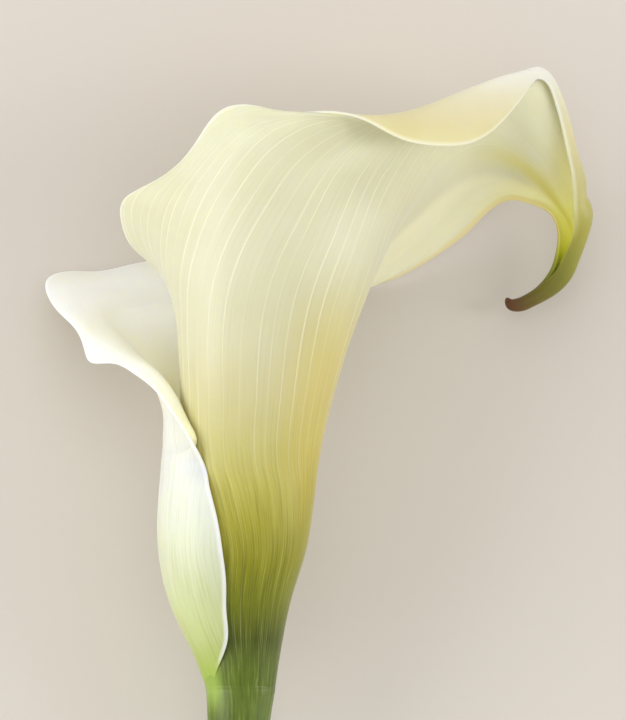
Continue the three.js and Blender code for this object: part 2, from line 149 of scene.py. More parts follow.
inner_crest_vein = [
    (-13.2, 69, 2), (-13.2, 80, 0), (-14.6, 91, -3), (-18.8, 99.8, -3), (-21.8, 107.6, 1),
    (-20, 114.2, 7), (-14, 119.6, 11.4), (-7.4, 126.6, 15.6), (-0.6, 132.6, 18.6), (8, 133.6, 21),
    (18.4, 134.2, 21.8), (28.6, 133.7, 18.4), (37.6, 134.7, 11.8), (47, 137.8, 0.6),
    (57.4, 141.8, -13.8), (62.2, 143.4, -21.4), (66.4, 144.7, -27.2), (69.6, 145.3, -30.8),
    (71.9, 143.6, -33), (74, 139.6, -35), (75.6, 135.4, -36.6), (77, 130, -38),
    (78.4, 124.6, -38.8), (79.8, 119.2, -39),
]
inner_margin_vein = [
    (-12.4, 69, -5), (-12.6, 80, -8.6), (-15, 91.6, -13), (-19.4, 99.4, -15), (-24.4, 104, -12),
    (-27, 109.4, -7), (-27, 114.4, -2), (-23.6, 117.2, 3), (-17.8, 120.2, 7.2),
    (-12.6, 124.6, 11), (-8.2, 130.8, 14.6), (-4, 135.4, 16.8), (1.8, 136.6, 18.6),
    (8.8, 135, 20.4), (18, 135, 22), (27.6, 133.6, 21.8), (36, 129.4, 18.6), (45, 127.6, 10.8),
    (52.4, 128.1, 0.6), (58.8, 131.8, -10), (63.4, 136.8, -18), (66.8, 141.2, -24),
    (69.2, 143.3, -28), (71.2, 142.2, -30.6), (72.7, 138.9, -32.6), (74.4, 133, -34.8),
    (75.9, 126.4, -36.4), (77.2, 119.6, -37.2),
]
veins = [
    (-1, outer_margin_vein),
    (-0.9, outer_crest_vein),
    (-0.82, outer_wall_vein),
    (-0.72, outer_side_vein),
    (-0.55, outer_left_vein),
    (-0.3, outer_back_vein),
    (0, midrib_vein),
    (0.28, inner_near_rib_vein),
    (0.55, inner_face_vein),
    (0.78, inner_side_vein),
    (0.9, inner_crest_vein),
    (1, inner_margin_vein),
]

# The tail's gutter: centre, radius, and the angles of the midrib and of the right margin, which
# rolls over towards the left one. Angles run from the table side towards the outside of the bend.
tail_sections = [
    (76.3, 113.4, -42, 4.8, -25, 165),
    (77.15, 107.2, -43.2, 3.2, 0, 174),
    (75.9, 102.1, -44, 2.4, 10, 191),
    (74.6, 98.6, -44.5, 2.1, 10, 200),
    (72.6, 95.9, -44.9, 1.7, 10, 217),
    (70, 93.7, -45.2, 1.2, 10, 240),
    (67.1, 92, -45.4, 0.95, 10, 252),
    (64.5, 91, -45.4, 0.9, 10, 255),
    (62.5, 91.3, -45.3, 0.9, 10, 255),
    (61.7, 92.6, -45.2, 0.7, 10, 255),
]


def smooth(start, end, value):
    share = np.clip((value - start) / (end - start), 0, 1)
    return share * share * (3 - 2 * share)


def smooth_curve(knots, points):
    """An evenly bending curve through points, as a function of arrays of knot values."""
    knots = np.asarray(knots, float)
    points = np.asarray(points, float)
    gaps = np.diff(knots)
    slopes = np.diff(points, axis=0) / gaps[:, None]
    count = len(knots)
    system = np.eye(count)
    turns = np.zeros_like(points)
    for i in range(1, count - 1):
        system[i, i - 1 : i + 2] = gaps[i - 1], 2 * (gaps[i - 1] + gaps[i]), gaps[i]
        turns[i] = 6 * (slopes[i] - slopes[i - 1])
    bends = np.linalg.solve(system, turns)

    def read(at):
        i = np.clip(np.searchsorted(knots, at) - 1, 0, count - 2)
        span = gaps[i][:, None]
        to_end = (knots[i + 1] - at)[:, None]
        from_start = (at - knots[i])[:, None]
        bend = (bends[i] * to_end**3 + bends[i + 1] * from_start**3) / (6 * span)
        start = (points[i] / span - bends[i] * span / 6) * to_end
        end = (points[i + 1] / span - bends[i + 1] * span / 6) * from_start
        return bend + start + end

    return read


def ring_point(ring, across):
    height, left, right, outer_margin, inner_margin = ring
    radius = (right - left - sheet_thickness) / 2
    outer_reach = midrib_angle - (outer_margin - 360)
    inner_reach = inner_margin - midrib_angle
    angle = midrib_angle + across * (outer_reach if across < 0 else inner_reach)
    if across > 0:
        step = foot_step + (layer_step - foot_step) * smooth(5, 15, height)
        radius -= step * smooth(tuck_from, tuck_to, angle)
    turn = math.radians(angle)
    return (left + right) / 2 + radius * math.cos(turn), height, radius * math.sin(turn)


def tail_point(i, across):
    x, y, z, radius, midrib, rolled_margin = tail_sections[i]
    before = tail_sections[max(i - 1, 0)]
    after = tail_sections[min(i + 1, len(tail_sections) - 1)]
    run = math.hypot(after[0] - before[0], after[1] - before[1])
    reach = midrib - left_margin_angle if across < 0 else rolled_margin - midrib
    turn = math.radians(midrib + across * reach)
    sideways = radius * math.sin(turn) / run
    x -= sideways * (after[1] - before[1])
    y += sideways * (after[0] - before[0])
    return x, y, z - radius * math.cos(turn)


def spread_knots(points, start, end):
    steps = np.linalg.norm(np.diff(np.asarray(points, float), axis=0), axis=1)
    return start + (end - start) * np.cumsum(steps) / steps.sum()


def vein_curve(across, points):
    tube = [ring_point(ring, across) for ring in tube_rings]
    tail = [tail_point(i, across) for i in range(len(tail_sections))]
    heights = [(0, ring[0], 0) for ring in tube_rings]
    centres = [section[:3] for section in tail_sections]
    knots = [
        [0],
        spread_knots(heights, 0, flare_start),
        spread_knots([tube[-1], *points, tail[0]], flare_start, tail_start),
        spread_knots(centres, tail_start, 1),
    ]
    return smooth_curve(np.concatenate(knots), [*tube, *points, *tail])


def bract_surface(alongs, acrosses):
    """The middle of the sheet: a row of points for each place along it."""
    runs = np.stack([vein_curve(across, points)(alongs) for across, points in veins])
    midrib = [across for across, _ in veins].index(0)
    rows = []
    for points in runs.transpose(1, 0, 2):
        steps = np.linalg.norm(np.diff(points, axis=0), axis=1)
        knots = np.concatenate([[0], np.cumsum(steps)])
        rib, whole = knots[midrib], knots[-1]
        at = rib + acrosses * np.where(acrosses < 0, rib, whole - rib)
        rows.append(smooth_curve(knots, points)(at))
    return np.stack(rows)


tube_rows = 90
flare_rows = 220
tail_rows = 110
columns = 220
alongs = np.concatenate([
    np.linspace(0, flare_start, tube_rows, endpoint=False),
    np.linspace(flare_start, tail_start, flare_rows, endpoint=False),
    np.linspace(tail_start, 1, tail_rows),
])
acrosses = np.linspace(-1, 1, columns)
middle = bract_surface(alongs, acrosses)

# The tail's end closes to a round knob.
to_tip = np.sqrt(1 - ((alongs - 0.985) / 0.015).clip(0, 0.995) ** 2)[:, None, None]
row_centres = middle.mean(axis=1, keepdims=True)
middle = row_centres + (middle - row_centres) * to_tip
lengthwise = np.gradient(middle, axis=0)
sideways = np.gradient(middle, axis=1)
normals = np.cross(sideways, lengthwise)
normals /= np.linalg.norm(normals, axis=2, keepdims=True)
outward_side = sideways / np.linalg.norm(sideways, axis=2, keepdims=True)

# How far each point lies from its nearer margin, along its row.
steps = np.linalg.norm(np.diff(middle, axis=1), axis=2)
run = np.concatenate([np.zeros((len(alongs), 1)), np.cumsum(steps, axis=1)], axis=1)
to_margin = np.minimum(run, run[:, -1:] - run)
along_grid, across_grid = np.meshgrid(alongs, acrosses, indexing="ij")
height_grid = middle[:, :, 1]

# The sheet thins towards its margins and swells in the tail. Towards the foot it thins from
# inside, and its outer face keeps the line of the stem's skin, which it grows out of.
thickness = edge_thickness + (sheet_thickness - edge_thickness) * smooth(0, edge_width, to_margin)
thickness += (tail_thickness - thickness) * smooth(tail_start, tail_end, along_grid)
thickness -= (tail_thickness - tip_thickness) * smooth(tail_end, 1, along_grid)
thickness *= to_tip[:, :, 0]
at_foot = smooth(20, 6, height_grid)
thickness += (foot_thickness - thickness) * at_foot
outer_half = thickness / 2 + (sheet_thickness - thickness) / 2 * at_foot

# A closed loop of points round each row: inner face, one rounded edge, outer face, other edge.
half = thickness[:, :, None] / 2
outer_face = middle - normals * outer_half[:, :, None]
inner_face = outer_face + 2 * normals * half
core = (outer_face + inner_face) / 2
edge_turns = np.radians([30, 60, 90, 120, 150])


def rounded_edge(column, sign):
    points = []
    for turn in edge_turns:
        bulge = sign * outward_side[:, column] * math.sin(turn)
        across_edge = normals[:, column] * math.cos(turn) * sign
        points.append(core[:, column] + half[:, column] * (bulge + across_edge))
    return np.stack(points, axis=1)


loops = np.concatenate(
    [inner_face, rounded_edge(-1, 1), outer_face[:, ::-1], rounded_edge(0, -1)], axis=1
)
loop_length = loops.shape[1]


def round_fields(field):
    """A value of the sheet, spread over both faces and both edges of each loop."""
    first = np.repeat(field[:, :1], len(edge_turns), axis=1)
    last = np.repeat(field[:, -1:], len(edge_turns), axis=1)
    return np.concatenate([field, last, field[:, ::-1], first], axis=1)


def loop_faces(rows, length):
    """Quads between rings of points, closed round each ring."""
    row, column = np.meshgrid(np.arange(rows - 1), np.arange(length), indexing="ij")
    following = (column + 1) % length
    low = row * length
    high = low + length
    quads = np.stack([low + column, low + following, high + following, high + column], axis=-1)
    return quads.reshape(-1, 4).tolist()


def end_cap(first, turned):
    """Closes one end of the sheet between its two faces."""
    inner = [first + i for i in range(columns)]
    outer = [first + columns + len(edge_turns) + i for i in range(columns)][::-1]
    faces = [[inner[i + 1], inner[i], outer[i], outer[i + 1]] for i in range(columns - 1)]
    right = [first + columns - 1 + i for i in range(len(edge_turns) + 2)]
    left_start = first + 2 * columns + len(edge_turns) - 1
    left = [left_start + i for i in range(len(edge_turns) + 1)] + [first]
    faces += [right[::-1], left[::-1]]
    return [face[::-1] for face in faces] if turned else faces


def make_piece(name, points, faces, ends, material, fields):
    """A smooth mesh with flat ends, with named values on its points for its material to read."""
    mesh = bpy.data.meshes.new(name)
    mesh.from_pydata(on_table(points).tolist(), [], faces + ends)
    mesh.polygons.foreach_set("use_smooth", [True] * len(faces) + [False] * len(ends))
    for field, values in fields.items():
        layer = mesh.attributes.new(field, "FLOAT", "POINT")
        layer.data.foreach_set("value", np.asarray(values, np.float32).ravel())
    mesh.materials.append(material)
    mesh.update()
    piece = bpy.data.objects.new(name, mesh)
    bpy.context.scene.collection.objects.link(piece)
    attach(piece, "root")
    return piece


class Finish:
    """A material in the making: its nodes are added one by one and linked by hand."""

    def __init__(self, name):
        self.material = bpy.data.materials.new(name)
        self.material.use_nodes = True
        self.tree = self.material.node_tree
        self.tree.nodes.clear()

    def add(self, kind, inputs=None, **settings):
        node = self.tree.nodes.new("ShaderNode" + kind)
        for setting, value in settings.items():
            setattr(node, setting, value)
        for socket, value in (inputs or {}).items():
            if isinstance(value, bpy.types.NodeSocket):
                self.tree.links.new(value, node.inputs[socket])
            else:
                node.inputs[socket].default_value = value
        return node

    def field(self, name):
        return self.add("Attribute", attribute_name=name).outputs["Fac"]

    def maths(self, operation, *values, clamp=False):
        inputs = dict(enumerate(values))
        return self.add("Math", inputs, operation=operation, use_clamp=clamp).outputs[0]

    def step(self, value, start, end, low=0.0, high=1.0):
        """A smooth rise of value from start to end, between low and high."""
        inputs = {0: value, 1: start, 2: end, 3: low, 4: high}
        return self.add("MapRange", inputs, interpolation_type="SMOOTHSTEP").outputs[0]

    def place(self, x, y=0.0, z=0.0):
        return self.add("CombineXYZ", {0: x, 1: y, 2: z}).outputs[0]

    def noise(self, vector, scale, detail=3.0, roughness=0.5):
        inputs = {"Vector": vector, "Scale": scale, "Detail": detail, "Roughness": roughness}
        return self.add("TexNoise", inputs).outputs["Fac"]

    def mix(self, share, first, second, blend="MIX"):
        node = self.add("Mix", data_type="RGBA", blend_type=blend)
        for socket, value in ((0, share), (6, first), (7, second)):
            if isinstance(value, bpy.types.NodeSocket):
                self.tree.links.new(value, node.inputs[socket])
            elif socket == 0:
                node.inputs[0].default_value = value
            else:
                node.inputs[socket].default_value = (*value, 1)
        return node.outputs[2]

    def ramp(self, value, stops):
        node = self.add("ValToRGB", {0: value})
        elements = node.color_ramp.elements
        while len(elements) < len(stops):
            elements.new(0.5)
        for element, (place, color) in zip(elements, stops):
            element.position = place
            element.color = (*color, 1)
        return node.outputs[0]

    def surface(self, color, roughness, bump, **sockets):
        inputs = {"Base Color": color, "Roughness": roughness, "Normal": bump}
        inputs.update({socket.replace("_", " "): value for socket, value in sockets.items()})
        shader = self.add("BsdfPrincipled", inputs)
        output = self.add("OutputMaterial")
        self.tree.links.new(shader.outputs[0], output.inputs[0])
        return self.material


def srgb(red, green, blue):
    """A colour as seen, turned into the light that a shader works with."""
    return tuple(((c / 255 + 0.055) / 1.055) ** 2.4 if c > 10 else c / 3294 for c in (red, green, blue))


# Seen on the bract from foot to mouth: green like the stem, olive, ochre, then cream white. The
# outer wrap, the lobe on the left, is paler than the inner one all the way down.
tube_height = 150


def at_height(height):
    return height / tube_height


inner_wrap_colors = [
    (at_height(4), srgb(85, 100, 9)),
    (at_height(14), srgb(79, 91, 4)),
    (at_height(23), srgb(119, 126, 5)),
    (at_height(32), srgb(142, 141, 20)),
    (at_height(41), srgb(168, 163, 55)),
    (at_height(50), srgb(187, 180, 91)),
    (at_height(60), srgb(199, 194, 132)),
    (at_height(70), srgb(205, 200, 157)),
    (at_height(82), srgb(207, 205, 175)),
    (at_height(96), srgb(207, 207, 181)),
    (at_height(116), srgb(210, 210, 186)),
    (at_height(138), srgb(215, 216, 192)),
]
outer_wrap_colors = [
    (at_height(4), srgb(153, 181, 58)),
    (at_height(9), srgb(174, 192, 98)),
    (at_height(14), srgb(192, 202, 136)),
    (at_height(21), srgb(202, 210, 157)),
    (at_height(30), srgb(210, 215, 181)),
    (at_height(41), srgb(222, 226, 204)),
    (at_height(55), srgb(230, 230, 221)),
    (at_height(72), srgb(233, 232, 217)),
    (at_height(95), srgb(233, 231, 204)),
]
throat_colors = [
    (at_height(5), srgb(160, 176, 70)),
    (at_height(40), srgb(216, 216, 144)),
    (at_height(60), srgb(241, 239, 200)),
    (at_height(72), srgb(248, 247, 228)),
    (at_height(95), srgb(249, 249, 238)),
    (at_height(110), srgb(227, 224, 195)),
    (at_height(125), srgb(214, 206, 160)),
    (at_height(132), srgb(214, 205, 164)),
    (at_height(139), srgb(221, 216, 191)),
    (at_height(145), srgb(234, 233, 227)),
]
tail_outside_colors = [
    (0.80, srgb(240, 235, 182)),
    (0.84, srgb(248, 244, 188)),
    (0.87, srgb(252, 249, 192)),
    (0.90, srgb(246, 244, 140)),
    (0.92, srgb(216, 222, 84)),
    (0.94, srgb(150, 164, 50)),
    (0.965, srgb(112, 118, 40)),
    (1.0, srgb(118, 94, 46)),
]
tail_inside_colors = [
    (0.80, srgb(199, 194, 169)),
    (0.83, srgb(187, 182, 150)),
    (0.855, srgb(178, 173, 131)),
    (0.88, srgb(173, 169, 101)),
    (0.90, srgb(161, 157, 72)),
    (0.93, srgb(138, 138, 53)),
    (0.955, srgb(120, 117, 39)),
    (0.975, srgb(109, 94, 32)),
    (0.99, srgb(102, 69, 34)),
    (1.0, srgb(94, 55, 30)),
]
stalk_green = srgb(86, 104, 17)
stalk_pale = srgb(131, 152, 72)
stalk_dark = srgb(58, 74, 9)
vein_pale = srgb(238, 237, 216)
vein_green = srgb(200, 210, 150)
# pale margin tissue with a painted rim light on it
pale_margin_and_rim_light = srgb(250, 248, 238)
# painted shade for the limb's outer edge
painted_edge_shade = srgb(224, 196, 138)
midrib_green = srgb(208, 202, 100)
warm_side = srgb(249, 240, 190)
patch_tint = srgb(228, 222, 178)
stria_olive = srgb(176, 176, 118)
stria_green = srgb(214, 222, 170)
stria_pale = srgb(214, 208, 130)
main_veins = 24.0
fine_veins = 130.0
# where and how pale the painted highlight on the skin under the lobe's foot is
lobe_foot = (-5.9, 3.4, 0)
painted_highlight_green = srgb(152, 178, 76)


def stalk_skin(make, skin_x, skin_z, height):
    """Colour and streaks of the green skin that stem and bract share, and a painted highlight under the
    lobe's foot.
    """
    wander = make.maths("MULTIPLY", make.noise(make.place(skin_x, skin_z, height), 0.12, 2.0), 2.4)
    across = make.maths("ADD", make.maths("MULTIPLY", skin_x, 1.5), wander)
    upward = make.maths("MULTIPLY", height, 0.075)
    streaks = make.noise(make.place(across, make.maths("MULTIPLY", skin_z, 1.5), upward), 1.0, 3.0, 0.6)
    color = make.mix(make.step(streaks, 0.52, 0.7, 0.0, 0.55), stalk_green, stalk_pale)
    color = make.mix(make.step(streaks, 0.5, 0.34, 0.0, 0.6), color, stalk_dark)
    # a painted highlight: the skin is paler on its left side just under the lobe's foot
    spot = make.add("VectorMath", {0: make.place(skin_x, skin_z), 1: lobe_foot}, operation="DISTANCE")
    painted_highlight = make.step(spot.outputs["Value"], 5.0, 1.5, 0.0, 0.85)
    painted_highlight = make.maths("MULTIPLY", painted_highlight, make.step(height, -5.0, 3.0))
    painted_highlight = make.maths("MULTIPLY", painted_highlight, make.step(height, 12.0, 6.0))
    return make.mix(painted_highlight, color, painted_highlight_green), streaks


def bract_finish():
    make = Finish("bract")
    vein = make.field("vein")
    along = make.field("along")
    height_mm = make.field("height")
    height = make.maths("DIVIDE", height_mm, tube_height)
    margin = make.field("margin")
    inside = make.field("inside")
    outer_wrap = make.field("outer_wrap")
    body = make.add("TexCoord").outputs["Object"]

    # the ground colours of the two wraps, warmer beside the midrib, of the throat and the tail
    warm = make.maths("MULTIPLY", make.step(vein, 0.46, 0.26), make.step(vein, -0.15, 0.1))
    warm = make.maths("MULTIPLY", warm, make.step(height, at_height(30), at_height(55)))
    warm = make.maths("MULTIPLY", warm, make.step(height, at_height(104), at_height(78)))
    inner = make.mix(warm, make.ramp(height, inner_wrap_colors), warm_side, "MULTIPLY")
    ground = make.mix(outer_wrap, inner, make.ramp(height, outer_wrap_colors))
    ground = make.mix(inside, ground, make.ramp(height, throat_colors))
    in_tail = make.step(along, 0.80, 0.885)
    tail_outside = make.ramp(along, tail_outside_colors)
    tail_color = make.mix(inside, tail_outside, make.ramp(along, tail_inside_colors))
    ground = make.mix(in_tail, ground, tail_color)
    on_rib = make.step(make.maths("ABSOLUTE", vein), 0.12, 0.0)
    rib_run = make.maths("MULTIPLY", on_rib, make.step(along, 0.7, 0.84, 0.0, 0.7))
    rib_run = make.maths("MULTIPLY", rib_run, make.step(along, 0.93, 0.87))
    ground = make.mix(rib_run, ground, midrib_green)
    patches = make.noise(body, 45.0, 2.0)
    ground = make.mix(make.step(patches, 0.35, 0.75, 0.0, 0.16), ground, patch_tint, "MULTIPLY")

    # main veins: pale threads with uneven gaps that fan out smoothly and fade in and out
    wide = make.place(make.maths("MULTIPLY", vein, 1.5), make.maths("MULTIPLY", along, 4.0))
    sway = make.noise(wide, 1.0, 1.0)
    place = make.maths("MULTIPLY_ADD", sway, 0.05, vein)
    main = make.add(
        "TexVoronoi",
        {"W": place, "Scale": main_veins, "Randomness": 0.75},
        voronoi_dimensions="1D",
        feature="DISTANCE_TO_EDGE",
    ).outputs["Distance"]
    main_line = make.step(main, 0.085, 0.01)
    long_run = make.place(make.maths("MULTIPLY", vein, 14.0), make.maths("MULTIPLY", along, 2.0))
    fading = make.noise(long_run, 3.0, 1.0)
    main_line = make.maths("MULTIPLY", main_line, make.step(fading, 0.35, 0.62, 0.2, 1.0))
    main_line = make.maths("MULTIPLY", main_line, make.step(height, at_height(40), at_height(95), 0.15, 1.0))
    main_line = make.maths("MULTIPLY", main_line, make.step(along, 0.80, 0.60, 0.15, 1.0))
    main_line = make.maths("MULTIPLY", main_line, make.step(inside, 0.0, 1.0, 1.0, 0.0))
    vein_color = make.mix(outer_wrap, vein_pale, vein_green)
    color = make.mix(make.maths("MULTIPLY", main_line, 0.52), ground, vein_color)

    # fine striae between them: darker and paler streaks, strongest on the green tube
    run = make.place(make.maths("MULTIPLY", place, fine_veins), make.maths("MULTIPLY", along, 9.0))
    streaks = make.noise(run, 1.0, 3.0, 0.6)
    streak_share = make.step(height, at_height(20), at_height(74), 0.55, 0.06)
    streak_share = make.maths("MULTIPLY", streak_share, make.step(inside, 0.0, 1.0, 1.0, 0.0))
    streak_share = make.maths("MULTIPLY", streak_share, make.step(along, 0.95, 0.85, 0.3, 1.0))
    streak_share = make.maths("MULTIPLY", streak_share, make.step(outer_wrap, 0.0, 1.0, 1.0, 0.6))
    dark_streak = make.maths("MULTIPLY", make.step(streaks, 0.52, 0.36), streak_share)
    pale_share = make.maths("MULTIPLY", streak_share, 0.5)
    pale_streak = make.maths("MULTIPLY", make.step(streaks, 0.54, 0.72), pale_share)
    deep = make.mix(outer_wrap, stria_olive, stria_green)
    color = make.mix(dark_streak, color, deep, "MULTIPLY")
    color = make.mix(pale_streak, color, make.mix(outer_wrap, stria_pale, vein_pale))

    # towards the foot it turns into the stem's own skin, painted highlight and all
    skin, _ = stalk_skin(make, make.field("skin_x"), make.field("skin_z"), height_mm)
    into_stem = make.mix(outer_wrap, make.step(height_mm, 16.0, 4.0), make.step(height_mm, 6.0, 3.0))
    color = make.mix(into_stem, color, skin)

    # the thin margins are paler and carry a painted rim light, strong on the outer one and weak on the inner
    # one;
    # along the limb the outer margin gets a tan painted shade instead
    rim = make.maths("MULTIPLY", make.step(margin, 1.1, 0.1), make.step(along, 0.92, 0.85))
    rim = make.maths("MULTIPLY", rim, make.step(height, at_height(7), at_height(12)))
    on_limb = make.maths("MULTIPLY", make.step(vein, 0.1, -0.1), make.step(along, 0.56, 0.68))
    rim_share = make.maths("SUBTRACT", make.step(vein, -0.1, 0.1, 0.7, 0.35), on_limb, clamp=True)
    # painted rim light along the pale margins
    color = make.mix(make.maths("MULTIPLY", rim, rim_share), color, pale_margin_and_rim_light)
    # a tan painted shade along the limb's outer edge, darker towards the edge
    edge_shade_share = make.maths("MULTIPLY", make.step(margin, 3.2, 0.2, 0.0, 0.6), on_limb)
    edge_shade_share = make.maths("MULTIPLY", edge_shade_share, make.step(along, 0.93, 0.88))
    color = make.mix(edge_shade_share, color, painted_edge_shade)

    # skin: the raised veins, the streaks and the fine grain of the cells
    cells = make.noise(body, 2600.0, 2.0)
    relief = make.maths("MULTIPLY", main_line, 0.5)
    streak_relief = make.step(height, at_height(30), at_height(90), 0.6, 0.3)
    relief = make.maths("MULTIPLY_ADD", streaks, streak_relief, relief)
    relief = make.maths("MULTIPLY_ADD", cells, 0.2, relief)
    bump = make.add("Bump", {"Height": relief, "Strength": 0.5, "Distance": 0.0002})
    roughness = make.step(cells, 0.3, 0.7, 0.34, 0.44)

    # light goes deep into the flesh, but not below 5 mm: there the faces of the two wraps cross
    # by up to 0.3 mm, and light scattered between them would leave a dark disc
    return make.surface(
        color,
        roughness,
        bump.outputs[0],
        Subsurface_Weight=make.step(height_mm, 5.0, 13.0, 0.0, 0.8),
        Subsurface_Radius=(1.0, 0.88, 0.45),
        Subsurface_Scale=0.0026,
        Specular_IOR_Level=0.35,
        Sheen_Weight=0.3,
        Sheen_Roughness=0.22,
    )


# The veins keep their share of the smooth width between midrib and margin, whatever the margins'
# waves do. They fan out of the tube and lean to the tip, a little across the sheet's rows.
smoothing = 20
reach = 3 * smoothing
kernel = np.exp(-0.5 * (np.arange(-reach, reach + 1) / smoothing) ** 2)
kernel /= kernel.sum()
to_rib = np.array([np.interp(0, acrosses, distance) for distance in run])
outer_width = np.convolve(np.pad(to_rib, reach, "edge"), kernel, "valid")[:, None]
inner_width = np.convolve(np.pad(run[:, -1] - to_rib, reach, "edge"), kernel, "valid")[:, None]
from_rib = run - to_rib[:, None]
vein_places = from_rib / np.where(from_rib < 0, outer_width, inner_width)
vein_lean = smooth_curve(
    [0, 0.1, 0.2, 0.27, 0.34, 0.4, 0.432, 0.455, 0.48, 0.505, 0.55, 0.6, 0.75, 0.88, 1],
    [[-0.08], [-0.05], [-0.025], [-0.01], [0], [0.01], [0.025], [0.042], [0.064], [0.088], [0.14],
     [0.17], [0.12], [0], [0]],
)
lean = vein_lean(alongs) * np.ones((1, columns))
size = np.abs(vein_places)
lean *= smooth(0, 0.3, size) * smooth(1, 0.82, size)
vein_places = vein_places - lean * np.sign(vein_places)

over_edge = np.array([0.9, 0.75, 0.5, 0.25, 0.1])
is_inside = np.concatenate([np.ones(columns), over_edge, np.zeros(columns), over_edge[::-1]])
is_inside = is_inside[None, :] * np.ones((len(alongs), 1))


# Where a point lies round the stalk, as a spot on a circle that both stem and bract are read on.
stalk_round = 7.0


def round_stalk(x, z, centre):
    reach = np.hypot(x - centre, z)
    return stalk_round * (x - centre) / reach, stalk_round * z / reach


def ring_edges(height):
    heights = [ring[0] for ring in tube_rings]
    left = np.interp(height, heights, [ring[1] for ring in tube_rings])
    right = np.interp(height, heights, [ring[2] for ring in tube_rings])
    return left, right


left_grid, right_grid = ring_edges(height_grid)
skin_x, skin_z = round_stalk(middle[:, :, 0], middle[:, :, 2], (left_grid + right_grid) / 2)
bract = make_piece(
    "bract",
    loops.reshape(-1, 3),
    loop_faces(len(alongs), loop_length),
    end_cap(0, False) + end_cap((len(alongs) - 1) * loop_length, True),
    bract_finish(),
    {
        "vein": round_fields(vein_places),
        "along": round_fields(along_grid),
        "height": round_fields(height_grid),
        "margin": round_fields(to_margin),
        "outer_wrap": round_fields(smooth(-0.12, -0.3, across_grid)),
        "skin_x": round_fields(skin_x),
        "skin_z": round_fields(skin_z),
        "inside": is_inside,
    },
)
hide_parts("spathe")

# ------------------------------------------------------------------ the stem
# A round, fleshy green stalk with fine lengthwise ribs. It widens into the bract, which grows out
# of its skin, and its cut end shows a pale spongy core.
stem_radius = 6.5
stem_length = 118
stem_flare_length = 22
stem_bow = 2.2
cut_bevel = 0.8
rib_count = 30
rib_relief = 0.05
rib_fade = 10
seat_gap = 0.3
stem_sides = 180
stem_rows = 160
skin_top = 7.0
skin_over = 0.015
skin_patch = srgb(124, 146, 70)
core_pale = srgb(214, 224, 168)
core_green = srgb(150, 172, 98)
core_ring = srgb(120, 150, 70)

cut_height = foot_height - stem_length
shoulder = foot_height - seat_gap
foot_left, foot_right = tube_rings[0][1:3]
foot_radius = (foot_right - foot_left) / 2
foot_centre = (foot_right + foot_left) / 2
stem_heights = np.concatenate([
    cut_height + cut_bevel * (1 - np.cos(np.linspace(0, math.pi / 2, 8))),
    np.linspace(cut_height + cut_bevel, shoulder, stem_rows)[1:],
    np.linspace(shoulder, skin_top, 24)[1:],
])
turns = np.linspace(0, 2 * math.pi, stem_sides, endpoint=False)
stem_rings = []
for height in stem_heights:
    bow = stem_bow * math.sin(math.pi * min(max((shoulder - height) / (shoulder - cut_height), 0), 1))
    flare = max((height + stem_flare_length - shoulder) / stem_flare_length, 0) ** 2
    centre = foot_centre - bow
    radius = stem_radius + (foot_radius - stem_radius) * flare
    radius += skin_over * smooth(shoulder - rib_fade, shoulder, height)
    if height > shoulder:
        left, right = ring_edges(max(height, foot_height))
        centre = (left + right) / 2
        radius = (right - left) / 2 + skin_over - 0.9 * smooth(foot_height + 0.3, skin_top - 1, height)
    into_bevel = min((height - cut_height) / cut_bevel, 1)
    radius -= cut_bevel * (1 - math.sqrt(max(1 - (1 - into_bevel) ** 2, 0))) * 0.6
    ribs = rib_relief * np.cos(rib_count * turns + 0.8 * np.sin(2 * turns))
    ribs *= smooth(cut_height + 1, cut_height + 4, height) * smooth(shoulder, shoulder - rib_fade, height)
    circle = np.stack([
        centre + (radius + ribs) * np.cos(turns),
        np.full(stem_sides, height),
        (radius + ribs) * np.sin(turns),
    ], axis=1)
    stem_rings.append(circle)

# The cut face: rings running in to the middle, with the core sunken where it has dried. Each ring
# starts from the last one, so the sinking adds up to a narrow pit 2.7 mm deep at the very middle.
cut_rings = 14
for i in range(1, cut_rings):
    share = i / cut_rings
    inner = stem_rings[0] * 1.0
    middle_point = inner.mean(axis=0)
    inner = middle_point + (inner - middle_point) * (1 - share)
    inner[:, 1] += 0.25 * smooth(0.05, 0.4, share) + 0.08 * np.cos(5 * turns) * share
    stem_rings.insert(0, inner)
stem_points = np.concatenate(stem_rings)
rings = len(stem_rings)
stem_faces = [face[::-1] for face in loop_faces(rings, stem_sides)]
stem_ends = [list(range(stem_sides)), [(rings - 1) * stem_sides + i for i in range(stem_sides)][::-1]]
cut_share = np.zeros((rings, stem_sides))
cut_share[:cut_rings] = np.linspace(1, 0, cut_rings, endpoint=False)[:, None]


def stem_finish():
    make = Finish("stem")
    height = make.field("height")
    cut = make.field("cut")
    body = make.add("TexCoord").outputs["Object"]
    color, streaks = stalk_skin(make, make.field("skin_x"), make.field("skin_z"), height)
    patches = make.noise(body, 90.0, 3.0)
    color = make.mix(make.step(patches, 0.4, 0.75, 0.0, 0.25), color, skin_patch)
    sponge = make.add(
        "TexVoronoi", {"Vector": body, "Scale": 1400.0}, feature="DISTANCE_TO_EDGE"
    ).outputs["Distance"]
    core = make.mix(make.step(sponge, 0.1, 0.35, 0.0, 0.7), core_pale, core_green)
    core = make.mix(make.step(cut, 0.16, 0.05), core, core_ring)
    on_cut = make.step(cut, 0.0, 0.04)
    color = make.mix(on_cut, color, core)
    grain = make.noise(body, 2200.0, 2.0)
    relief = make.maths("MULTIPLY_ADD", streaks, 0.6, make.maths("MULTIPLY", grain, 0.2))
    relief = make.maths("MULTIPLY_ADD", make.maths("MULTIPLY", sponge, on_cut), -1.6, relief)
    bump = make.add("Bump", {"Height": relief, "Strength": 0.5, "Distance": 0.0002})
    roughness = make.step(grain, 0.3, 0.7, 0.34, 0.44)
    return make.surface(
        color,
        roughness,
        bump.outputs[0],
        Subsurface_Weight=make.step(height, 0.0, -12.0, 0.0, 0.4),
        Subsurface_Radius=(0.6, 1.0, 0.3),
        Subsurface_Scale=0.0012,
        Specular_IOR_Level=0.4,
        Sheen_Weight=0.3,
        Sheen_Roughness=0.22,
    )


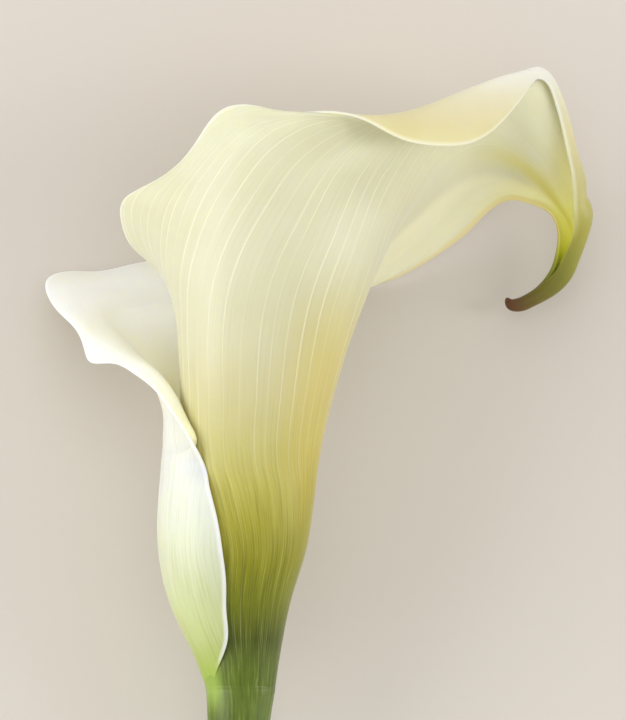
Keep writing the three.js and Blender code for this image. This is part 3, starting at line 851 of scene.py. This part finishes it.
stem_centres = np.concatenate([
    np.full(cut_rings - 1, stem_rings[cut_rings][:, 0].mean()),
    [ring[:, 0].mean() for ring in stem_rings[cut_rings - 1:]],
])
stem_x, stem_z = round_stalk(stem_points[:, 0], stem_points[:, 2], np.repeat(stem_centres, stem_sides))
stem = make_piece(
    "stem_stalk",
    stem_points,
    stem_faces,
    stem_ends,
    stem_finish(),
    {
        "height": stem_points[:, 1],
        "skin_x": stem_x,
        "skin_z": stem_z,
        "cut": cut_share,
    },
)
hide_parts("stem")

# ------------------------------------------------------------------ the spadix
# A finger of hundreds of tiny florets on a fleshy core: female ones with round green ovaries
# near its foot, and above them male ones, packed grains that are dusty with yellow pollen.
spadix_foot = 9.8
spadix_top = 80
spadix_radius = 4.1
spadix_taper = 0.26
spadix_lean = 5
male_relief = 0.45
female_relief = 0.6
female_share = 0.24
male_columns = 24
female_columns = 14
floret_length = 1.1
female_length = 1.9
spadix_sides = 168
spadix_rows = 420
pollen_ochre = srgb(214, 160, 40)
pollen_yellow = srgb(246, 206, 84)
ovary_green = srgb(176, 186, 96)
ovary_pale = srgb(214, 214, 140)
groove_brown = srgb(150, 104, 24)
shares = np.linspace(0, 1, spadix_rows)
spadix_turns = np.linspace(0, 2 * math.pi, spadix_sides, endpoint=False)
share_grid, turn_grid = np.meshgrid(shares, spadix_turns, indexing="ij")
spadix_length = spadix_top - spadix_foot


def floret_bumps(florets_round, floret_run):
    """Domes in staggered rows: 0 in the grooves between florets, 1 on top of each."""
    row = share_grid * spadix_length / floret_run
    nearest_row = np.round(row)
    column = turn_grid / (2 * math.pi) * florets_round + 0.5 * (nearest_row % 2)
    off_row = (row - nearest_row) * 2
    off_column = (column - np.round(column)) * 2
    reach = np.sqrt(off_row**2 + off_column**2)
    return np.sqrt(np.clip(1 - (reach / 1.25) ** 2, 0, 1))


is_female = smooth(female_share + 0.01, female_share - 0.01, share_grid)
male_bumps = floret_bumps(male_columns, floret_length)
female_bumps = floret_bumps(female_columns, female_length)
floret_rise = male_relief * male_bumps * (1 - is_female) + female_relief * female_bumps * is_female
dome = np.sqrt(np.clip(1 - smooth(0.93, 1.0, share_grid) ** 2, 0.0, 1))
spadix_reach = (spadix_radius * (1 - spadix_taper * share_grid) + floret_rise) * np.maximum(dome, 0.02)
lean_grid = spadix_lean * share_grid**2
spadix_points = np.stack([
    lean_grid + spadix_reach * np.cos(turn_grid),
    spadix_foot + spadix_length * share_grid,
    -lean_grid / 2 + spadix_reach * np.sin(turn_grid),
], axis=2).reshape(-1, 3)
spadix_faces = [face[::-1] for face in loop_faces(spadix_rows, spadix_sides)]
last_ring = (spadix_rows - 1) * spadix_sides
spadix_ends = [list(range(spadix_sides)), [last_ring + i for i in range(spadix_sides)][::-1]]


def spadix_finish():
    make = Finish("florets")
    female = make.field("female")
    rise = make.field("rise")
    body = make.add("TexCoord").outputs["Object"]
    pollen = make.noise(body, 3200.0, 3.0, 0.7)
    yellow = make.mix(make.step(pollen, 0.35, 0.65), pollen_ochre, pollen_yellow)
    green = make.mix(make.step(pollen, 0.35, 0.65), ovary_green, ovary_pale)
    color = make.mix(female, yellow, green)
    color = make.mix(make.step(rise, 0.45, 0.0, 0.0, 0.75), color, groove_brown)
    bump = make.add("Bump", {"Height": pollen, "Strength": 0.6, "Distance": 0.00012})
    roughness = make.step(pollen, 0.3, 0.7, 0.7, 0.9)
    return make.surface(
        color,
        roughness,
        bump.outputs[0],
        Subsurface_Weight=0.3,
        Subsurface_Radius=(1.0, 0.7, 0.2),
        Subsurface_Scale=0.0008,
    )


spadix = make_piece(
    "florets",
    spadix_points,
    spadix_faces,
    spadix_ends,
    spadix_finish(),
    {"female": is_female, "rise": male_bumps * (1 - is_female) + female_bumps * is_female},
)
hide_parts("spadix")

# ------------------------------------------------------------------ the table
# A plain pale surface, matt and very slightly uneven in tone.
table_half = 2.5
table_dark = srgb(206, 199, 190)
table_light = srgb(211, 204, 195)


def table_finish():
    make = Finish("table")
    body = make.add("TexCoord").outputs["Object"]
    clouds = make.noise(body, 2.2, 3.0)
    grain = make.noise(body, 420.0, 2.0)
    color = make.mix(make.step(clouds, 0.3, 0.7), table_dark, table_light)
    bump = make.add("Bump", {"Height": grain, "Strength": 0.12, "Distance": 0.0003})
    return make.surface(color, make.step(grain, 0.2, 0.8, 0.7, 0.8), bump.outputs[0])


table_mesh = bpy.data.meshes.new("table")
table_corners = [(x * table_half, y * table_half, 0) for x, y in ((-1, -1), (1, -1), (1, 1), (-1, 1))]
table_mesh.from_pydata(table_corners, [], [(0, 1, 2, 3)])
table_mesh.materials.append(table_finish())
table = bpy.data.objects.new("table", table_mesh)
bpy.context.scene.collection.objects.link(table)


# ------------------------------------------------------------------ light
# A broad soft light from the left, a long one low on the right that catches the right-hand
# contour, one beyond the mouth for the left flap's inside, and a weak wide one overhead.
def on_flower(x, y, z):
    return Vector(on_table([x, y, z]))


def soft_light(name, place, aim, width, height, power, color):
    light = bpy.data.lights.new(name, "AREA")
    light.shape = "RECTANGLE"
    light.size = width
    light.size_y = height
    light.energy = power
    light.color = color
    lamp = bpy.data.objects.new(name, light)
    lamp.location = place
    lamp.rotation_mode = "QUATERNION"
    lamp.rotation_quaternion = (aim - place).to_track_quat("-Z", "Y")
    bpy.context.scene.collection.objects.link(lamp)


flower_middle = on_flower(5, 70, -5)
soft_light("key", on_flower(-1000, 60, 560), flower_middle, 0.75, 1.0, 8.3, (0.98, 0.985, 1.0))
soft_light("rim", on_flower(900, 60, 90), flower_middle, 0.25, 1.3, 4.8, (1.0, 0.99, 0.98))
soft_light("overhead", on_flower(60, 300, 900), flower_middle, 0.6, 0.6, 1.0, (1.0, 0.99, 0.97))
soft_light("top", on_flower(-150, 1000, 520), flower_middle, 0.9, 0.6, 1.5, (1.0, 1.0, 0.98))

world = bpy.data.worlds.new("room")
world.use_nodes = True
world.node_tree.nodes["Background"].inputs[0].default_value = (1.0, 0.99, 0.97, 1)
world.node_tree.nodes["Background"].inputs[1].default_value = 0.73
bpy.context.scene.world = world
bpy.context.scene.view_settings.view_transform = "Standard"

# ------------------------------------------------------------------ the camera
# It looks straight at the flower's near side, down on the table, with the picture as high as
# 165.6 mm at the flower. The picture is upright, so the sensor's long side is its height.
picture_centre = (16.8, 78.2)
picture_height = 0.1656
camera_distance = 4.0
camera_data = bpy.data.cameras.new("camera")
camera_data.sensor_width = 36
camera_data.lens = camera_data.sensor_width * camera_distance / picture_height
camera_data.clip_end = 50
camera = bpy.data.objects.new("camera", camera_data)
camera.location = on_flower(*picture_centre, camera_distance / mm)
camera.rotation_mode = "XYZ"
camera.rotation_euler = Euler((rest_pitch, rest_roll, 0))
bpy.context.scene.collection.objects.link(camera)
bpy.context.scene.camera = camera
